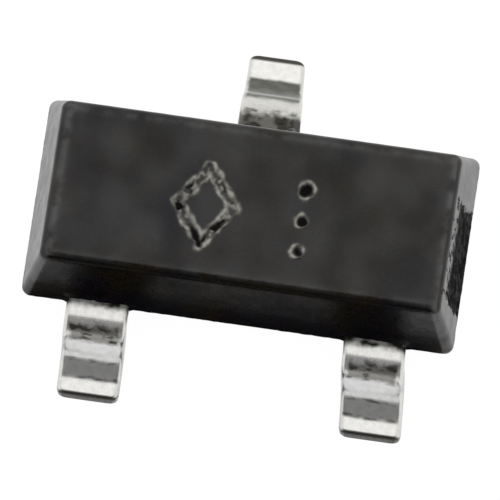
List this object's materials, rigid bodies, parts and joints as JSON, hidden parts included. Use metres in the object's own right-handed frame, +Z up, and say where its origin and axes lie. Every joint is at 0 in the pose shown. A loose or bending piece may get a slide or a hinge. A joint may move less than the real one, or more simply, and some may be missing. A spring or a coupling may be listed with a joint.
{
  "type": "smd mosfet",
  "caption": "Small moulded transistor switch for surface mounting, with gull-wing leads on both long sides and a flat top to be picked up by.",
  "frame": {"origin": "on the board, under the middle of the body", "axes": "+X along the body, +Y towards the side with the drain lead, +Z up from the board"},
  "size_m": [0.0028, 0.0024, 0.001],
  "materials": {
    "moulding_compound": "spark-eroded mould texture, dull black",
    "tin_plated_lead": "matt tin plate, rubbed bright at the bends",
    "silicon": "polished",
    "solder": "dull",
    "copper_wire": "drawn"
  },
  "bodies": {
    "root": {"mould_body": "moulding_compound", "drain_lead": "tin_plated_lead", "gate_lead": "tin_plated_lead", "source_lead": "tin_plated_lead", "mosfet_die": "silicon", "die_solder": "solder", "gate_wire": "copper_wire", "source_wire_front": "copper_wire", "source_wire_rear": "copper_wire"}
  },
  "joints": []
}
